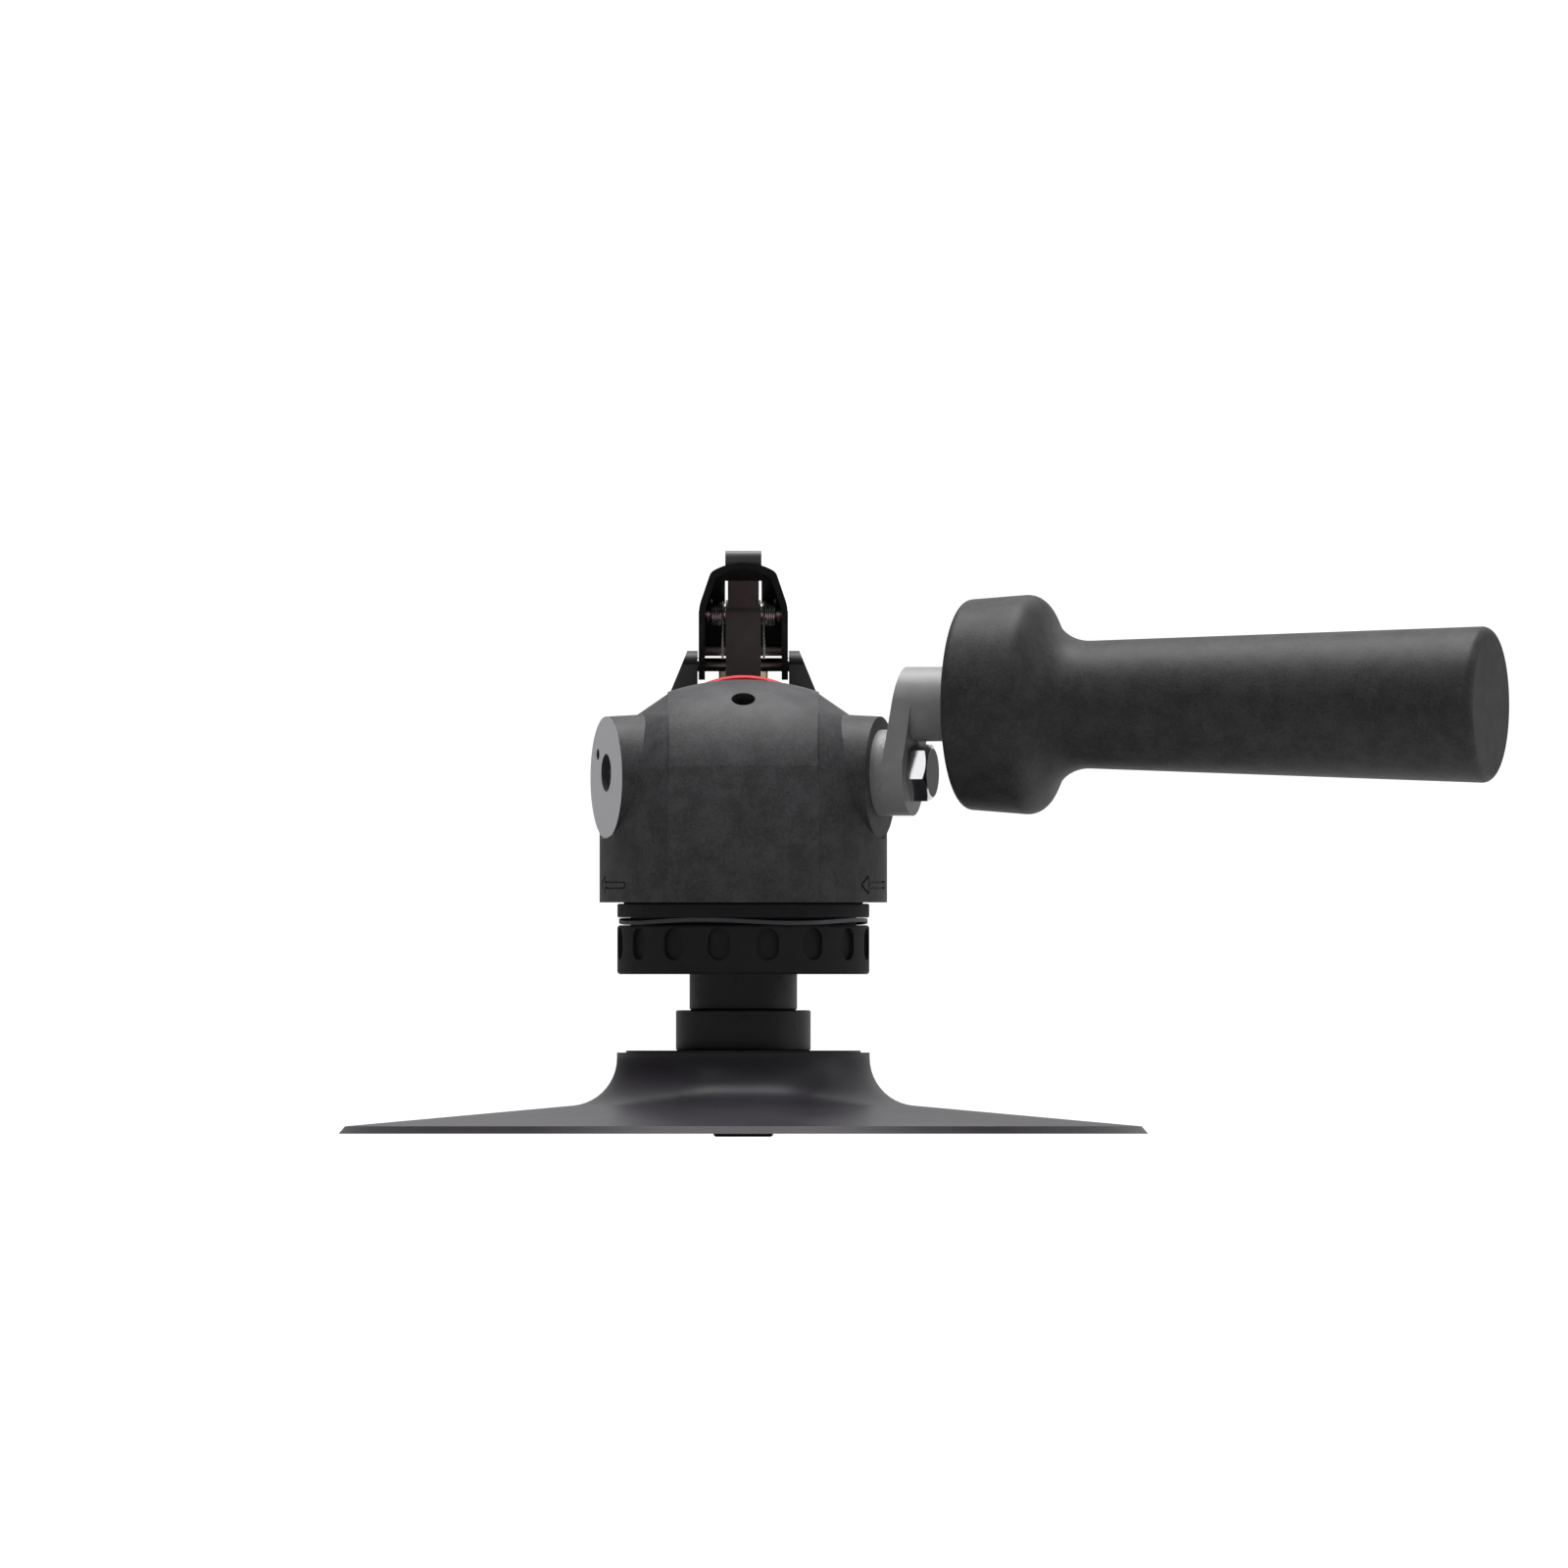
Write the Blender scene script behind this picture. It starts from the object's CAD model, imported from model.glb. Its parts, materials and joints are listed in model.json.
"""Looks of a hand-held vacuum suction cup: finishes, wound springs, threads and a plain studio."""

import json
import math

import bpy
from mathutils import Matrix, Vector


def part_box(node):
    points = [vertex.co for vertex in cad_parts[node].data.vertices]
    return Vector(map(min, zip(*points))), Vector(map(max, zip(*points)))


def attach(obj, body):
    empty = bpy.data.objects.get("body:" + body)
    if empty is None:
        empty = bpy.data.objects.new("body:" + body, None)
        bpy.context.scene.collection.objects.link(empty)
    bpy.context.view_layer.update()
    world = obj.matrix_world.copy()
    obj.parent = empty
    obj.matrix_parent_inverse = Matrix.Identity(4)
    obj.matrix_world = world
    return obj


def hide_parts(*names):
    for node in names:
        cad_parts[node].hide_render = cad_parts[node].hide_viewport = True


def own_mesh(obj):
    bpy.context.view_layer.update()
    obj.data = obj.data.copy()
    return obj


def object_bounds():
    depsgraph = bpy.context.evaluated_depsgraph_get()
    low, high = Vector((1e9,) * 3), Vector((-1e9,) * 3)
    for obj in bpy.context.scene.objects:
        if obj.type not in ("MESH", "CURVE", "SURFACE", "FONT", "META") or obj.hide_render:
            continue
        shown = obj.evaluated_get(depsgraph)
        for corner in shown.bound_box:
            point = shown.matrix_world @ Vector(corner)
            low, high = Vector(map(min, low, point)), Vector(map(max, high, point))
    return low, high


bl_info = {
    "name": "Vacuum suction cup looks",
    "version": (1, 0, 0),
    "blender": (4, 5, 0),
    "location": "3D View > Sidebar > Suction Cup",
    "description": "Finishes, springs, threads and studio for a hand-held vacuum suction cup",
    "category": "Object",
}

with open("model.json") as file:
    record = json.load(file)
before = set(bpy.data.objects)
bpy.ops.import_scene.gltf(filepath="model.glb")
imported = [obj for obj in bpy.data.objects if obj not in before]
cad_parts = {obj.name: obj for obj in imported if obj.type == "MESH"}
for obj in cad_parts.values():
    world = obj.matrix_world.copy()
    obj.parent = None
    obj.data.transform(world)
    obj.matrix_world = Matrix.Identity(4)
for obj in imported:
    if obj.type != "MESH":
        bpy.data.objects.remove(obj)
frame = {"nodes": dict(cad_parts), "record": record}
cad_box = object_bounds()
NODES = frame["nodes"]
MM = 0.001

# both side bosses are turned forward; the left one has a bare face, the right one holds the arm's bolt
BOSS_TURN = math.radians(15)
BOSS_FACE = 35.6 * MM
BOSS_RADIUS = 15.5 * MM
BOSS_HEIGHT = 89.3 * MM
BOLT_END_RADIUS = 6.0 * MM
FLAT_WITHIN = 0.03 * MM
LEFT_BOSS = (-math.cos(BOSS_TURN), -math.sin(BOSS_TURN), 0.0)
RIGHT_BOSS = (math.cos(BOSS_TURN), -math.sin(BOSS_TURN), 0.0)
MOUNTS = {mount["name"]: mount for mount in frame["record"]["mounts"]}


# ---------------------------------------------------------------- shader maths
class Wire:
    """A shader socket that sums and products can be written with."""

    def __init__(self, board, socket):
        self.board = board
        self.socket = socket

    def _math(self, operation, first, second):
        return self.board.node("ShaderNodeMath", {"operation": operation}, {0: first, 1: second})

    def __add__(self, other):
        return self._math("ADD", self, other)

    def __mul__(self, other):
        return self._math("MULTIPLY", self, other)

    def clamped(self, low, high):
        """This value moved into 0..1 between two limits, smoothly."""
        return self.board.node(
            "ShaderNodeMapRange",
            {"interpolation_type": "SMOOTHSTEP"},
            {"Value": self, "From Min": low, "From Max": high},
        )


class Board:
    """The node tree of one finish, with its surface shader already in place."""

    def __init__(self, name):
        self.material = bpy.data.materials.new(name)
        self.material.use_nodes = True
        self.tree = self.material.node_tree
        self.tree.nodes.clear()
        self.surface = self.tree.nodes.new("ShaderNodeBsdfPrincipled")
        output = self.tree.nodes.new("ShaderNodeOutputMaterial")
        self.tree.links.new(self.surface.outputs[0], output.inputs["Surface"])
        coordinates = self.tree.nodes.new("ShaderNodeTexCoord")
        self.place = Wire(self, coordinates.outputs["Object"])

    def node(self, kind, settings, inputs, output=0):
        """A node of this kind: its settings first, then the values or wires of its sockets."""
        made = self.tree.nodes.new(kind)
        for key, value in settings.items():
            setattr(made, key, value)
        for key, value in inputs.items():
            if isinstance(value, Wire):
                self.tree.links.new(value.socket, made.inputs[key])
            else:
                made.inputs[key].default_value = value
        return Wire(self, made.outputs[output])

    def noise(self, size, detail=2.0, roughness=0.5, place=None):
        """Noise whose grains are about this many metres across."""
        return self.node(
            "ShaderNodeTexNoise", {},
            {"Vector": place or self.place, "Scale": 1.0 / size, "Detail": detail, "Roughness": roughness},
        )

    def blend(self, factor, first, second):
        """A colour between two others."""
        first, second = (c if isinstance(c, Wire) else (*c, 1.0) for c in (first, second))
        return self.node(
            "ShaderNodeMix", {"data_type": "RGBA"}, {"Factor": factor, 6: first, 7: second}, output=2)

    def stretched(self, scale):
        """Object coordinates stretched along the axes."""
        return self.node("ShaderNodeMapping", {}, {"Vector": self.place, "Scale": scale})

    def set(self, **values):
        """Constant values on the surface shader's own sockets, or wires into them."""
        for key, value in values.items():
            name = key.replace("_", " ")
            socket = self.surface.inputs[name]
            if isinstance(value, Wire):
                self.tree.links.new(value.socket, socket)
            elif isinstance(value, tuple):
                socket.default_value = (*value, 1.0)
            else:
                socket.default_value = value
        return self

    def bump(self, height, strength, distance):
        """Fine relief from a height wire."""
        normal = self.node(
            "ShaderNodeBump", {},
            {"Height": height, "Strength": strength, "Distance": distance},
        )
        return self.set(Normal=normal)


def scaled(colour, factor):
    """A colour made lighter or darker."""
    return tuple(min(1.0, part * factor) for part in colour)


def flat_end(board, outward, level, height, radius):
    """1 on the flat round end that stands level metres out along a level direction, and 0 elsewhere."""
    along = board.node(
        "ShaderNodeVectorMath", {"operation": "DOT_PRODUCT"}, {0: board.place, 1: outward}, output=1)
    on_plane = board.node("ShaderNodeMath", {"operation": "COMPARE"}, {0: along, 1: level, 2: FLAT_WITHIN})
    centre = (outward[0] * level, outward[1] * level, height)
    reach = board.node(
        "ShaderNodeVectorMath", {"operation": "DISTANCE"}, {0: board.place, 1: centre}, output=1)
    return on_plane * board.node("ShaderNodeMath", {"operation": "LESS_THAN"}, {0: reach, 1: radius})


def bolt_end(board, name):
    """1 on the flat end of a bolt in the right boss, and 0 elsewhere."""
    level = max(corner.co.dot(Vector(RIGHT_BOSS)) for corner in NODES[name].data.vertices)
    low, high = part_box(name)
    return flat_end(board, RIGHT_BOSS, level, (low[2] + high[2]) / 2, BOLT_END_RADIUS)


def cast_coat(name, colour, grain, roughness, machined=None):
    """Matt coat with a fine grain and soft blotches; machined is the colour of the bare left boss face."""
    board = Board(name)
    mottle = board.noise(grain, 3.0, 0.6)
    cloud = board.noise(grain * 9, 3.0, 0.65)
    shade = (mottle * 0.5 + cloud * 0.5).clamped(0.36, 0.64)
    coat = board.blend(shade, scaled(colour, 0.74), scaled(colour, 1.26))
    if machined:
        coat = board.blend(flat_end(board, LEFT_BOSS, BOSS_FACE, BOSS_HEIGHT, BOSS_RADIUS), coat, machined)
    board.set(
        Base_Color=coat,
        Roughness=mottle * 0.16 + (roughness - 0.08),
        Specular_IOR_Level=0.16,
    )
    return board.bump(mottle, 0.35, grain * 0.25).material


def satin_coat(name, colour, roughness, shine=0.26):
    """Smooth satin coat on steel or alloy, slightly uneven."""
    board = Board(name)
    haze = board.noise(0.004, 3.0)
    fine = board.noise(0.0005, 2.0)
    board.set(
        Base_Color=board.blend(haze, scaled(colour, 0.85), scaled(colour, 1.15)),
        Roughness=haze * 0.12 + fine * 0.06 + (roughness - 0.09),
        Specular_IOR_Level=shine,
    )
    return board.bump(fine, 0.08, 0.00005).material


def glossy_rubber(name, colour, roughness):
    """Moulded rubber with a faint bloom."""
    board = Board(name)
    bloom = board.noise(0.018, 4.0, 0.6)
    fine = board.noise(0.0006, 2.0)
    board.set(
        Base_Color=board.blend(bloom.clamped(0.3, 0.7), scaled(colour, 0.9), scaled(colour, 1.12)),
        Roughness=bloom * 0.1 + (roughness - 0.05),
        Specular_IOR_Level=0.24,
    )
    return board.bump(fine, 0.06, 0.00005).material


def bare_metal(name, colour, roughness, streak, dark_end=None):
    """Plated, turned or drawn metal with fine streaks along one axis; dark_end names a bolt's unlit face."""
    board = Board(name)
    lines = board.noise(0.0004, 2.0, 0.6, board.stretched(streak))
    haze = board.noise(0.003, 3.0)
    shade = board.blend(haze, scaled(colour, 0.86), scaled(colour, 1.08))
    if dark_end:
        shade = board.blend(bolt_end(board, dark_end), shade, scaled(colour, 0.06))
    board.set(
        Base_Color=shade,
        Metallic=1.0,
        Roughness=lines * 0.14 + haze * 0.08 + (roughness - 0.11),
    )
    return board.bump(lines, 0.06, 0.00004).material


def gloss_paint(name, colour, roughness):
    """Glossy colour under a clear coat."""
    board = Board(name)
    haze = board.noise(0.006, 3.0)
    board.set(
        Base_Color=board.blend(haze, scaled(colour, 0.9), scaled(colour, 1.1)),
        Roughness=roughness,
        Specular_IOR_Level=0.2,
    )
    return board.material


def make_finishes(colours):
    """Every finish by its name, from the sidebar's colours."""
    ring = (1.0, 1.0, 12.0)
    return {
        "cast": cast_coat("cast head coat", colours.head, 0.0006, 0.5, tuple(colours.machined)),
        "arm": satin_coat("arm coat", colours.arm, 0.38),
        "grip": cast_coat("grip plastic", colours.grip, 0.0006, 0.5),
        "cup": glossy_rubber("cup rubber", colours.cup, 0.36),
        "black": satin_coat("satin black", colours.black, 0.42, 0.1),
        "ring": satin_coat("ring coat", scaled(colours.black, 2.1), 0.55, 0.06),
        "shaft": satin_coat("shaft coat", colours.shaft, 0.3),
        "catch": satin_coat("catch coat", colours.catch, 0.38),
        "barrel": satin_coat("barrel coat", colours.black, 0.42),
        "pad": glossy_rubber("pad rubber", colours.pad, 0.62),
        "seal": glossy_rubber("seal rubber", colours.pad, 0.55),
        "plastic": satin_coat("black plastic", colours.plastic, 0.5),
        "red": gloss_paint("red trim", colours.trim, 0.4),
        "chrome": bare_metal("bolt chrome", colours.chrome, 0.16, (1.0, 1.0, 1.0), "arm_bolt"),
        "zinc": bare_metal("zinc plate", colours.zinc, 0.34, ring),
        "wire": bare_metal("spring wire", colours.zinc, 0.26, ring),
        "dark spring": bare_metal("blued spring steel", colours.blued, 0.34, ring),
        "brass": bare_metal("turned brass", colours.brass, 0.26, ring),
        "bronze": bare_metal("sintered bronze", colours.bronze, 0.5, (1.0, 1.0, 1.0)),
    }


NODE_FINISHES = {
    "cast": ["head_housing"],
    "grip": ["side_grip"],
    "cup": ["cup_rubber"],
    "black": ["rear_cap", "lever_shell"],
    "ring": ["lock_ring", "bearing_flange"],
    "arm": ["serrated_washer", "crank_arm"],
    "shaft": ["spindle", "hub_collar", "cup_top_plate"],
    "catch": ["lock_off_catch"],
    "barrel": ["barrel"],
    "pad": ["barrel_grip_pad"],
    "seal": ["spindle_seal", "valve_seat"],
    "plastic": ["touch_valve_plunger", "touch_valve_retainer"],
    "red": ["barrel_trim_ring"],
    "chrome": ["arm_bolt"],
    "zinc": [
        "cup_insert", "flange_screws", "threaded_insert_right", "threaded_insert_left", "anti_turn_pin",
        "grip_washer", "grip_stud", "grip_core", "tie_screws", "air_inlet", "lever_pin", "press_pin",
        "catch_pin", "spindle_washer",
    ],
    "wire": [
        "touch_valve_spring", "spindle_clip", "valve_spring", "catch_washers", "catch_clips",
        "catch_spring_left", "catch_spring_right",
    ],
    "dark spring": ["wave_spring"],
    "brass": ["ejector_nozzle", "diffuser", "valve_bush", "valve_stem"],
    "bronze": ["thrust_washer", "spindle_bush", "silencer"],
}
finishes = {}


# ---------------------------------------------------------------- mesh helpers
def set_inputs(modifier, values):
    """Sets a node modifier's inputs by their names."""
    for item in modifier.node_group.interface.items_tree:
        if item.item_type == "SOCKET" and item.in_out == "INPUT" and item.name in values:
            modifier[item.identifier] = values[item.name]


def grown(name, tree, values, place):
    """What a geometry node tree makes, as a plain mesh moved into place."""
    seed = bpy.data.objects.new(name + "_seed", bpy.data.meshes.new(name + "_seed"))
    bpy.context.scene.collection.objects.link(seed)
    modifier = seed.modifiers.new("grow", "NODES")
    modifier.node_group = tree
    set_inputs(modifier, values)
    bpy.context.view_layer.update()
    shaped = seed.evaluated_get(bpy.context.evaluated_depsgraph_get())
    mesh = bpy.data.meshes.new_from_object(shaped)
    bpy.data.objects.remove(seed)
    mesh.name = name
    mesh.transform(place)
    piece = bpy.data.objects.new(name, mesh)
    bpy.context.scene.collection.objects.link(piece)
    return piece


def coil_tree(finish):
    """Wire wound in a helix about Z: its named inputs are lengths in metres and a number of turns."""
    tree = bpy.data.node_groups.new("wound wire", "GeometryNodeTree")
    for title, kind, default in (
        ("Turns", "NodeSocketFloat", 5.0),
        ("Radius", "NodeSocketFloat", 0.005),
        ("Rise", "NodeSocketFloat", 0.01),
        ("Wire Radius", "NodeSocketFloat", 0.0004),
        ("Steps per Turn", "NodeSocketInt", 36),
        ("Sides", "NodeSocketInt", 10),
    ):
        socket = tree.interface.new_socket(title, in_out="INPUT", socket_type=kind)
        socket.default_value = default
    tree.interface.new_socket("Geometry", in_out="OUTPUT", socket_type="NodeSocketGeometry")
    given = tree.nodes.new("NodeGroupInput")
    result = tree.nodes.new("NodeGroupOutput")
    spiral = tree.nodes.new("GeometryNodeCurveSpiral")
    profile = tree.nodes.new("GeometryNodeCurvePrimitiveCircle")
    sweep = tree.nodes.new("GeometryNodeCurveToMesh")
    smooth = tree.nodes.new("GeometryNodeSetShadeSmooth")
    realize = tree.nodes.new("GeometryNodeRealizeInstances")
    paint = tree.nodes.new("GeometryNodeSetMaterial")
    join = tree.links.new
    join(given.outputs["Turns"], spiral.inputs["Rotations"])
    join(given.outputs["Radius"], spiral.inputs["Start Radius"])
    join(given.outputs["Radius"], spiral.inputs["End Radius"])
    join(given.outputs["Rise"], spiral.inputs["Height"])
    join(given.outputs["Steps per Turn"], spiral.inputs["Resolution"])
    join(given.outputs["Sides"], profile.inputs["Resolution"])
    join(given.outputs["Wire Radius"], profile.inputs["Radius"])
    join(spiral.outputs["Curve"], sweep.inputs["Curve"])
    join(profile.outputs["Curve"], sweep.inputs["Profile Curve"])
    sweep.inputs["Fill Caps"].default_value = True
    join(sweep.outputs["Mesh"], smooth.inputs["Geometry"])
    join(smooth.outputs["Geometry"], realize.inputs["Geometry"])
    join(realize.outputs["Geometry"], paint.inputs["Geometry"])
    paint.inputs["Material"].default_value = finish
    join(paint.outputs["Geometry"], result.inputs["Geometry"])
    return tree


def swept_wire(name, points, radius, sides, finish):
    """Round wire along a smooth line through points in metres, with closed ends."""
    curve = bpy.data.curves.new(name, "CURVE")
    curve.dimensions = "3D"
    curve.bevel_depth = radius
    curve.bevel_resolution = sides
    curve.use_fill_caps = True
    line = curve.splines.new("POLY")
    line.points.add(len(points) - 1)
    for spot, point in zip(line.points, points):
        spot.co = (*point, 1.0)
    carrier = bpy.data.objects.new(name, curve)
    bpy.context.scene.collection.objects.link(carrier)
    bpy.context.view_layer.update()
    shaped = carrier.evaluated_get(bpy.context.evaluated_depsgraph_get())
    mesh = bpy.data.meshes.new_from_object(shaped)
    bpy.data.objects.remove(carrier)
    mesh.materials.clear()
    mesh.materials.append(finish)
    for face in mesh.polygons:
        face.use_smooth = True
    piece = bpy.data.objects.new(name, mesh)
    bpy.context.scene.collection.objects.link(piece)
    return piece


# ---------------------------------------------------------------- settings in the sidebar
def colour_setting(title, words, default):
    """A colour for the sidebar."""
    return bpy.props.FloatVectorProperty(
        name=title, description=words, default=default, subtype="COLOR", size=3, min=0.0, max=1.0)


def length_setting(title, words, default):
    """A length in metres for the sidebar."""
    return bpy.props.FloatProperty(
        name=title, description=words, default=default, min=0.0, subtype="DISTANCE", unit="LENGTH")


class CupColours(bpy.types.PropertyGroup):
    """Colours of the finishes."""

    head: colour_setting("Head", "Textured coat of the cast head", (0.053, 0.051, 0.054))
    machined: colour_setting("Machined", "Bare face of the left boss", (0.56, 0.55, 0.57))
    arm: colour_setting("Arm", "Coat of the crank arm and its washer", (0.26, 0.254, 0.257))
    grip: colour_setting("Grip", "Textured plastic of the side grip", (0.037, 0.036, 0.038))
    cup: colour_setting("Cup", "Rubber of the suction cup", (0.029, 0.026, 0.033))
    black: colour_setting("Black", "Satin black of lever and ring", (0.013, 0.013, 0.014))
    shaft: colour_setting("Shaft", "Coat of spindle and collar", (0.020, 0.020, 0.022))
    catch: colour_setting("Catch", "Coat of the lock-off catch", (0.125, 0.122, 0.124))
    pad: colour_setting("Pad", "Rubber of grip pad and seals", (0.014, 0.014, 0.014))
    plastic: colour_setting("Plastic", "Touch valve plastic", (0.020, 0.020, 0.020))
    trim: colour_setting("Trim ring", "Red ring on the barrel", (0.72, 0.014, 0.022))
    chrome: colour_setting("Chrome", "Arm bolt", (0.70, 0.70, 0.71))
    zinc: colour_setting("Zinc", "Plated screws, pins and washers", (0.56, 0.56, 0.57))
    blued: colour_setting("Blued steel", "Wave spring", (0.10, 0.10, 0.11))
    brass: colour_setting("Brass", "Valve bush, stem and nozzle", (0.90, 0.72, 0.50))
    bronze: colour_setting("Bronze", "Bushes and silencer", (0.46, 0.33, 0.18))


class WoundWire(bpy.types.PropertyGroup):
    """Sizes of the wound springs."""

    touch_wire: length_setting("Touch valve wire", "Wire radius of the touch valve's spring", 0.0004)
    valve_wire: length_setting("Valve wire", "Wire radius of the throttle valve's spring", 0.00045)
    catch_wire: length_setting("Catch wire", "Wire radius of the catch's torsion springs", 0.00027)
    catch_turns: bpy.props.IntProperty(
        name="Catch turns", description="Turns of each torsion spring", default=6, min=2, max=12)
    thread_depth: length_setting("Thread depth", "How far a thread stands into its hole", 0.0003)
    wave_rise: length_setting("Wave rise", "Half the wave spring's height of wave", 0.0004)


class Studio(bpy.types.PropertyGroup):
    """Floor, lights and camera."""

    floor_size: length_setting("Floor", "Width of the floor", 6.0)
    top_power: bpy.props.FloatProperty(
        name="Top light", description="Power of the overhead light in watts", default=22.0, min=0.0)
    back_power: bpy.props.FloatProperty(
        name="Back light", description="Power of the light behind in watts", default=0.8, min=0.0)
    side_power: bpy.props.FloatProperty(
        name="Side light", description="Power of the right side light in watts", default=1.5, min=0.0)
    card_power: bpy.props.FloatProperty(
        name="Front card", description="Power of the card in front on the left in watts",
        default=1.0, min=0.0)
    surround: bpy.props.FloatProperty(
        name="Surround", description="Light given by the plain surround", default=0.7, min=0.0)
    backdrop: bpy.props.FloatProperty(
        name="Backdrop", description="Brightness of the surround where it is seen", default=1.4, min=0.0)
    view_width: length_setting("View width", "Width of what the camera sees", 0.3931)


# ---------------------------------------------------------------- operators
class SUCTIONCUP_OT_finishes(bpy.types.Operator):
    """Make the finishes and give each part of the frame its own"""

    bl_idname = "suctioncup.finishes"
    bl_label = "Finishes"

    def execute(self, context):
        """Paints every node of the frame."""
        finishes.update(make_finishes(context.scene.cup_colours))
        for finish, names in NODE_FINISHES.items():
            for name in names:
                node = NODES[name]
                for place in node.material_slots:
                    place.material = finishes[finish]
        return {"FINISHED"}


class SUCTIONCUP_OT_valve_springs(bpy.types.Operator):
    """Wind the touch valve's and the throttle valve's compression springs"""

    bl_idname = "suctioncup.valve_springs"
    bl_label = "Valve Springs"

    def execute(self, context):
        """Winds each spring between the ends of its stand-in."""
        sizes = context.scene.cup_wire
        tree = coil_tree(finishes["wire"])
        for node, body, wire, turns, joint, keep, held_at_foot in (
            ("touch_valve_spring", "cup", sizes.touch_wire, 4.0, "touch_valve_slide", 0.576, False),
            ("valve_spring", "head", sizes.valve_wire, 6.0, "valve_slide", 0.805, True),
        ):
            low, high = (Vector(corner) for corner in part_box(node))
            middle = (low + high) / 2
            outer = (high.x - low.x) / 2
            rise = high.z - low.z - 2 * wire
            place = Matrix.Translation((middle.x, middle.y, low.z + wire))
            values = {"Turns": turns, "Radius": outer - wire, "Rise": rise, "Wire Radius": wire}
            piece = grown(node + "_wound", tree, values, place)
            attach(piece, body)
            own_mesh(piece)
            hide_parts(node)
        return {"FINISHED"}


CATCH_COIL_RADIUS = 3.1 * MM
CATCH_LEG_DROPS = (11.5 * MM, 2.0 * MM)
CATCH_LEG_LIFTS = (0.0, 0.4 * MM)
CATCH_LEG_REACH = 6.0 * MM
STEPS_PER_TURN = 28


class SUCTIONCUP_OT_catch_springs(bpy.types.Operator):
    """Wind the two torsion springs beside the lock-off catch"""

    bl_idname = "suctioncup.catch_springs"
    bl_label = "Catch Springs"

    def execute(self, context):
        """Winds each spring about the catch pin, with one leg down and one forward."""
        sizes = context.scene.cup_wire
        low, high = (Vector(corner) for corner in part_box("catch_pin"))
        centre = (low + high) / 2
        wire = sizes.catch_wire
        for side, node in ((1, "catch_spring_right"), (-1, "catch_spring_left")):
            edges = [Vector(corner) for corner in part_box(node)]
            inner = min(abs(edges[0].x), abs(edges[1].x)) + wire
            outer = max(abs(edges[0].x), abs(edges[1].x)) - wire
            radius = CATCH_COIL_RADIUS - wire
            points = [
                Vector((side * inner, centre.y - radius, centre.z - drop)) for drop in CATCH_LEG_DROPS]
            total = int((sizes.catch_turns - 0.75) * STEPS_PER_TURN)
            for step in range(total + 1):
                angle = math.pi - 2 * math.pi * step / STEPS_PER_TURN
                share = step / total
                points.append(Vector((
                    side * (inner + (outer - inner) * share),
                    centre.y + radius * math.cos(angle),
                    centre.z + radius * math.sin(angle),
                )))
            for lift in CATCH_LEG_LIFTS:
                points.append(points[-1] + Vector((0, -CATCH_LEG_REACH, lift)))
            piece = swept_wire(node + "_wound", points, wire, 3, finishes["wire"])
            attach(piece, "lever")
            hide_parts(node)
        return {"FINISHED"}


WAVE_BAND_WIDTH = 2.3 * MM
WAVES = 4
WAVE_STEPS = 192
WAVE_CREST = math.radians(-110)


class SUCTIONCUP_OT_wave_spring(bpy.types.Operator):
    """Form the flat wave spring between lock ring and flange"""

    bl_idname = "suctioncup.wave_spring"
    bl_label = "Wave Spring"

    def execute(self, context):
        """Builds a closed flat band that rises and falls four times a turn."""
        low, high = (Vector(corner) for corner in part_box("wave_spring"))
        outer = (high.x - low.x) / 2
        inner = outer - WAVE_BAND_WIDTH
        middle = (low.z + high.z) / 2
        rise = context.scene.cup_wire.wave_rise
        thickness = (high.z - low.z) - 2 * rise
        vertices = []
        for step in range(WAVE_STEPS):
            angle = 2 * math.pi * step / WAVE_STEPS
            level = middle + rise * math.cos(WAVES * (angle - WAVE_CREST))
            for radius, half in ((inner, -1), (outer, -1), (outer, 1), (inner, 1)):
                vertices.append((radius * math.cos(angle), radius * math.sin(angle),
                                 level + half * thickness / 2))
        faces = []
        for step in range(WAVE_STEPS):
            here, after = 4 * step, 4 * ((step + 1) % WAVE_STEPS)
            for corner in range(4):
                beyond = (corner + 1) % 4
                faces.append((here + corner, after + corner, after + beyond, here + beyond))
        mesh = bpy.data.meshes.new("wave_spring_formed")
        mesh.from_pydata(vertices, [], faces)
        mesh.materials.append(finishes["dark spring"])
        mesh.update()
        piece = bpy.data.objects.new("wave_spring_formed", mesh)
        context.scene.collection.objects.link(piece)
        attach(piece, "head")
        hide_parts("wave_spring")
        return {"FINISHED"}


class SUCTIONCUP_OT_threads(bpy.types.Operator):
    """Wind the threads of the left boss and of the air inlet"""

    bl_idname = "suctioncup.threads"
    bl_label = "Threads"

    def execute(self, context):
        """Winds a fine thread just inside each open hole."""
        depth = context.scene.cup_wire.thread_depth
        tree = coil_tree(finishes["zinc"])
        for name, mount_name, turns, half_length in (
            ("left_boss_thread", "left_boss", 13.0, 8.9 * MM),
            ("air_inlet_thread", "air_inlet", 9.0, 6.4 * MM),
        ):
            mount = MOUNTS[mount_name]
            axis = Vector(mount["axis"])
            middle = Vector(mount["pos_m"])
            radius = mount["dims"]["r_mm"] * MM
            turn = axis.to_track_quat("Z", "Y").to_matrix().to_4x4()
            place = Matrix.Translation(middle - axis * half_length) @ turn
            values = {
                "Turns": turns, "Radius": radius, "Rise": 2 * half_length, "Wire Radius": depth, "Sides": 6}
            piece = grown(name, tree, values, place)
            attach(piece, "head")
        return {"FINISHED"}


BRIGHT_SIDE = (0.34, 0.36, 0.87)
DARK_SIDE_SHARE = 0.03
FLOOR_GREY = (0.52, 0.52, 0.52)
FLOOR_GAP = 0.1 * MM
AIM = (0.0, 0.0, 0.09)
EYE = (0.0102, -1.6, 0.0877)


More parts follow.
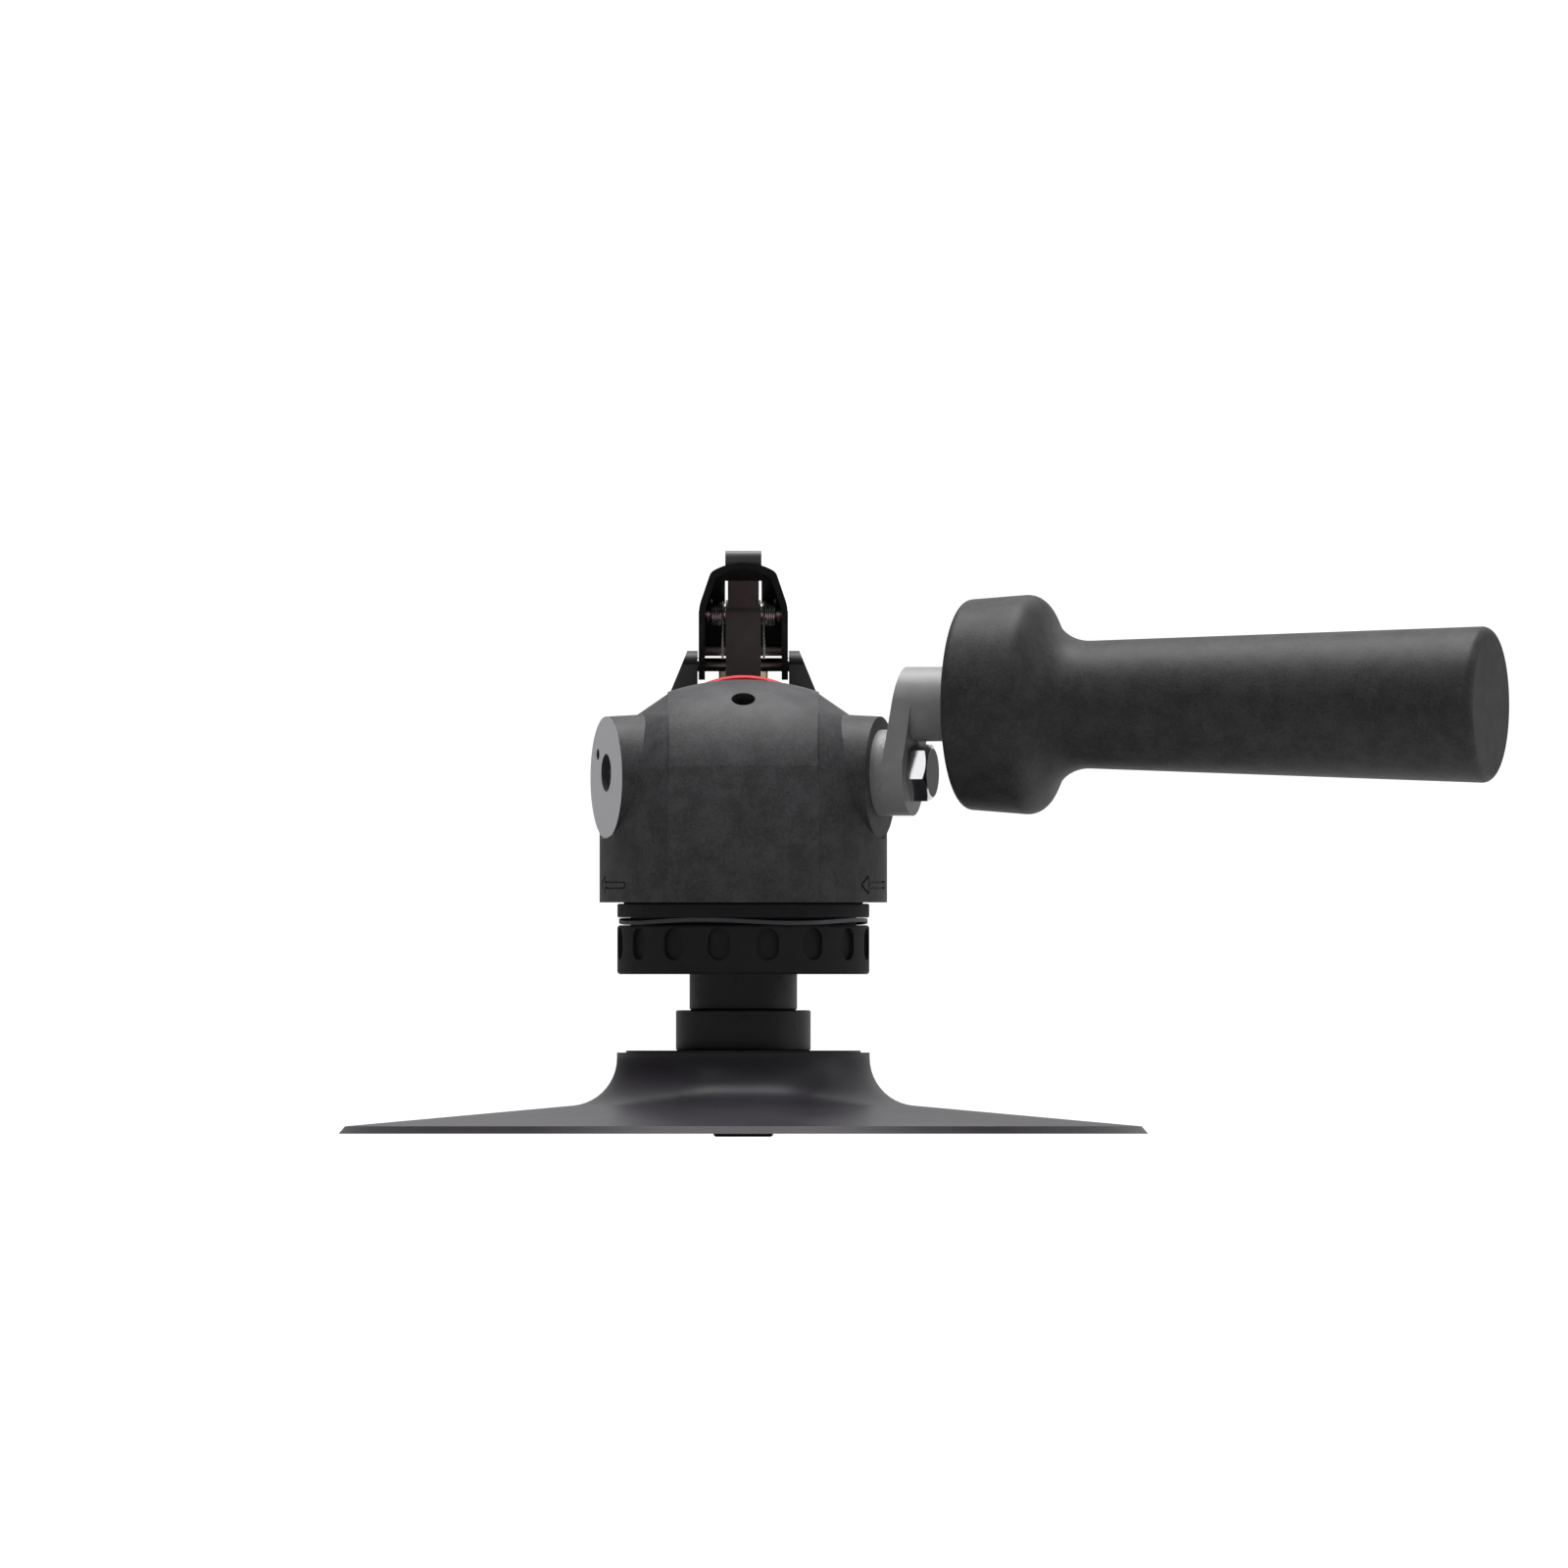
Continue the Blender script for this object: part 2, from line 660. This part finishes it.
def surround(strength, backdrop):
    """A plain surround, seen white, whose light comes mostly from above, behind and the right."""
    world = bpy.data.worlds.new("plain surround")
    world.use_nodes = True
    tree = world.node_tree
    tree.nodes.clear()
    output = tree.nodes.new("ShaderNodeOutputWorld")
    seen = tree.nodes.new("ShaderNodeBackground")
    seen.inputs["Strength"].default_value = backdrop
    lit = tree.nodes.new("ShaderNodeBackground")
    lit.inputs["Strength"].default_value = strength
    choice = tree.nodes.new("ShaderNodeMixShader")
    path = tree.nodes.new("ShaderNodeLightPath")
    tree.links.new(path.outputs["Is Camera Ray"], choice.inputs["Fac"])
    tree.links.new(lit.outputs[0], choice.inputs[1])
    tree.links.new(seen.outputs[0], choice.inputs[2])
    tree.links.new(choice.outputs[0], output.inputs["Surface"])
    direction = tree.nodes.new("ShaderNodeTexCoord")
    along = tree.nodes.new("ShaderNodeVectorMath")
    along.operation = "DOT_PRODUCT"
    along.inputs[1].default_value = BRIGHT_SIDE
    tree.links.new(direction.outputs["Generated"], along.inputs[0])
    ramp = tree.nodes.new("ShaderNodeMapRange")
    ramp.inputs["From Min"].default_value = 0.0
    ramp.inputs["From Max"].default_value = 1.0
    ramp.inputs["To Min"].default_value = DARK_SIDE_SHARE
    ramp.inputs["To Max"].default_value = 1.0
    ramp.interpolation_type = "SMOOTHSTEP"
    tree.links.new(along.outputs["Value"], ramp.inputs["Value"])
    shade = tree.nodes.new("ShaderNodeCombineColor")
    for channel in ("Red", "Green", "Blue"):
        tree.links.new(ramp.outputs[0], shade.inputs[channel])
    tree.links.new(shade.outputs[0], lit.inputs["Color"])
    return world


class SUCTIONCUP_OT_stage(bpy.types.Operator):
    """Set up the floor, the lights and the camera"""

    bl_idname = "suctioncup.stage"
    bl_label = "Studio"

    def execute(self, context):
        """Lays a pale floor, hangs soft lights and places the camera."""
        scene = context.scene
        studio = scene.cup_studio
        board = Board("pale floor")
        board.set(Base_Color=FLOOR_GREY, Roughness=0.9, Specular_IOR_Level=0.1)
        half = studio.floor_size / 2
        mesh = bpy.data.meshes.new("floor")
        corners = [(-half, -half), (half, -half), (half, half), (-half, half)]
        mesh.from_pydata([(x, y, cad_box[0][2] - FLOOR_GAP) for x, y in corners], [], [(0, 1, 2, 3)])
        mesh.materials.append(board.material)
        floor = bpy.data.objects.new("floor", mesh)
        scene.collection.objects.link(floor)

        scene.world = surround(studio.surround, studio.backdrop)
        scene.view_settings.view_transform = "Standard"

        for name, place, size, power in (
            ("top light", (0.0, 0.15, 1.2), 0.9, studio.top_power),
            ("back light", (0.1, 1.2, 0.7), 1.2, studio.back_power),
            ("side light", (1.2, -0.1, 0.5), 0.7, studio.side_power),
            ("front card", (-0.58, -0.93, 0.86), 0.5, studio.card_power),
        ):
            lamp = bpy.data.lights.new(name, "AREA")
            lamp.shape = "SQUARE"
            lamp.size = size
            lamp.energy = power
            holder = bpy.data.objects.new(name, lamp)
            holder.location = place
            holder.rotation_euler = (Vector(place) - Vector(AIM)).to_track_quat("Z", "Y").to_euler()
            scene.collection.objects.link(holder)

        camera = bpy.data.cameras.new("camera")
        camera.type = "ORTHO"
        camera.ortho_scale = studio.view_width
        camera.clip_start = 0.01
        camera.clip_end = 10.0
        holder = bpy.data.objects.new("camera", camera)
        holder.location = EYE
        holder.rotation_euler = (math.radians(90), 0, 0)
        scene.collection.objects.link(holder)
        scene.camera = holder
        return {"FINISHED"}


PIECES = (
    SUCTIONCUP_OT_finishes,
    SUCTIONCUP_OT_valve_springs,
    SUCTIONCUP_OT_catch_springs,
    SUCTIONCUP_OT_wave_spring,
    SUCTIONCUP_OT_threads,
    SUCTIONCUP_OT_stage,
)


class SUCTIONCUP_PT_sidebar(bpy.types.Panel):
    """The cup's settings and steps"""

    bl_idname = "SUCTIONCUP_PT_sidebar"
    bl_label = "Suction Cup"
    bl_space_type = "VIEW_3D"
    bl_region_type = "UI"
    bl_category = "Suction Cup"

    def draw(self, context):
        """Lists the settings, then one button for each step."""
        for settings in (context.scene.cup_colours, context.scene.cup_wire, context.scene.cup_studio):
            box = self.layout.box()
            for name in settings.__annotations__:
                box.prop(settings, name)
        for piece in PIECES:
            self.layout.operator(piece.bl_idname)


SETTINGS = {"cup_colours": CupColours, "cup_wire": WoundWire, "cup_studio": Studio}


def register():
    """Registers the settings, the steps and the sidebar."""
    for group in SETTINGS.values():
        bpy.utils.register_class(group)
    for name, group in SETTINGS.items():
        setattr(bpy.types.Scene, name, bpy.props.PointerProperty(type=group))
    for piece in PIECES:
        bpy.utils.register_class(piece)
    bpy.utils.register_class(SUCTIONCUP_PT_sidebar)


def unregister():
    """Takes the sidebar, the steps and the settings away again."""
    bpy.utils.unregister_class(SUCTIONCUP_PT_sidebar)
    for piece in reversed(PIECES):
        bpy.utils.unregister_class(piece)
    for name, group in reversed(SETTINGS.items()):
        delattr(bpy.types.Scene, name)
        bpy.utils.unregister_class(group)


def main():
    """Runs every step in order."""
    register()
    for piece in PIECES:
        group, step = piece.bl_idname.split(".")
        getattr(getattr(bpy.ops, group), step)()


if __name__ == "__main__":
    main()
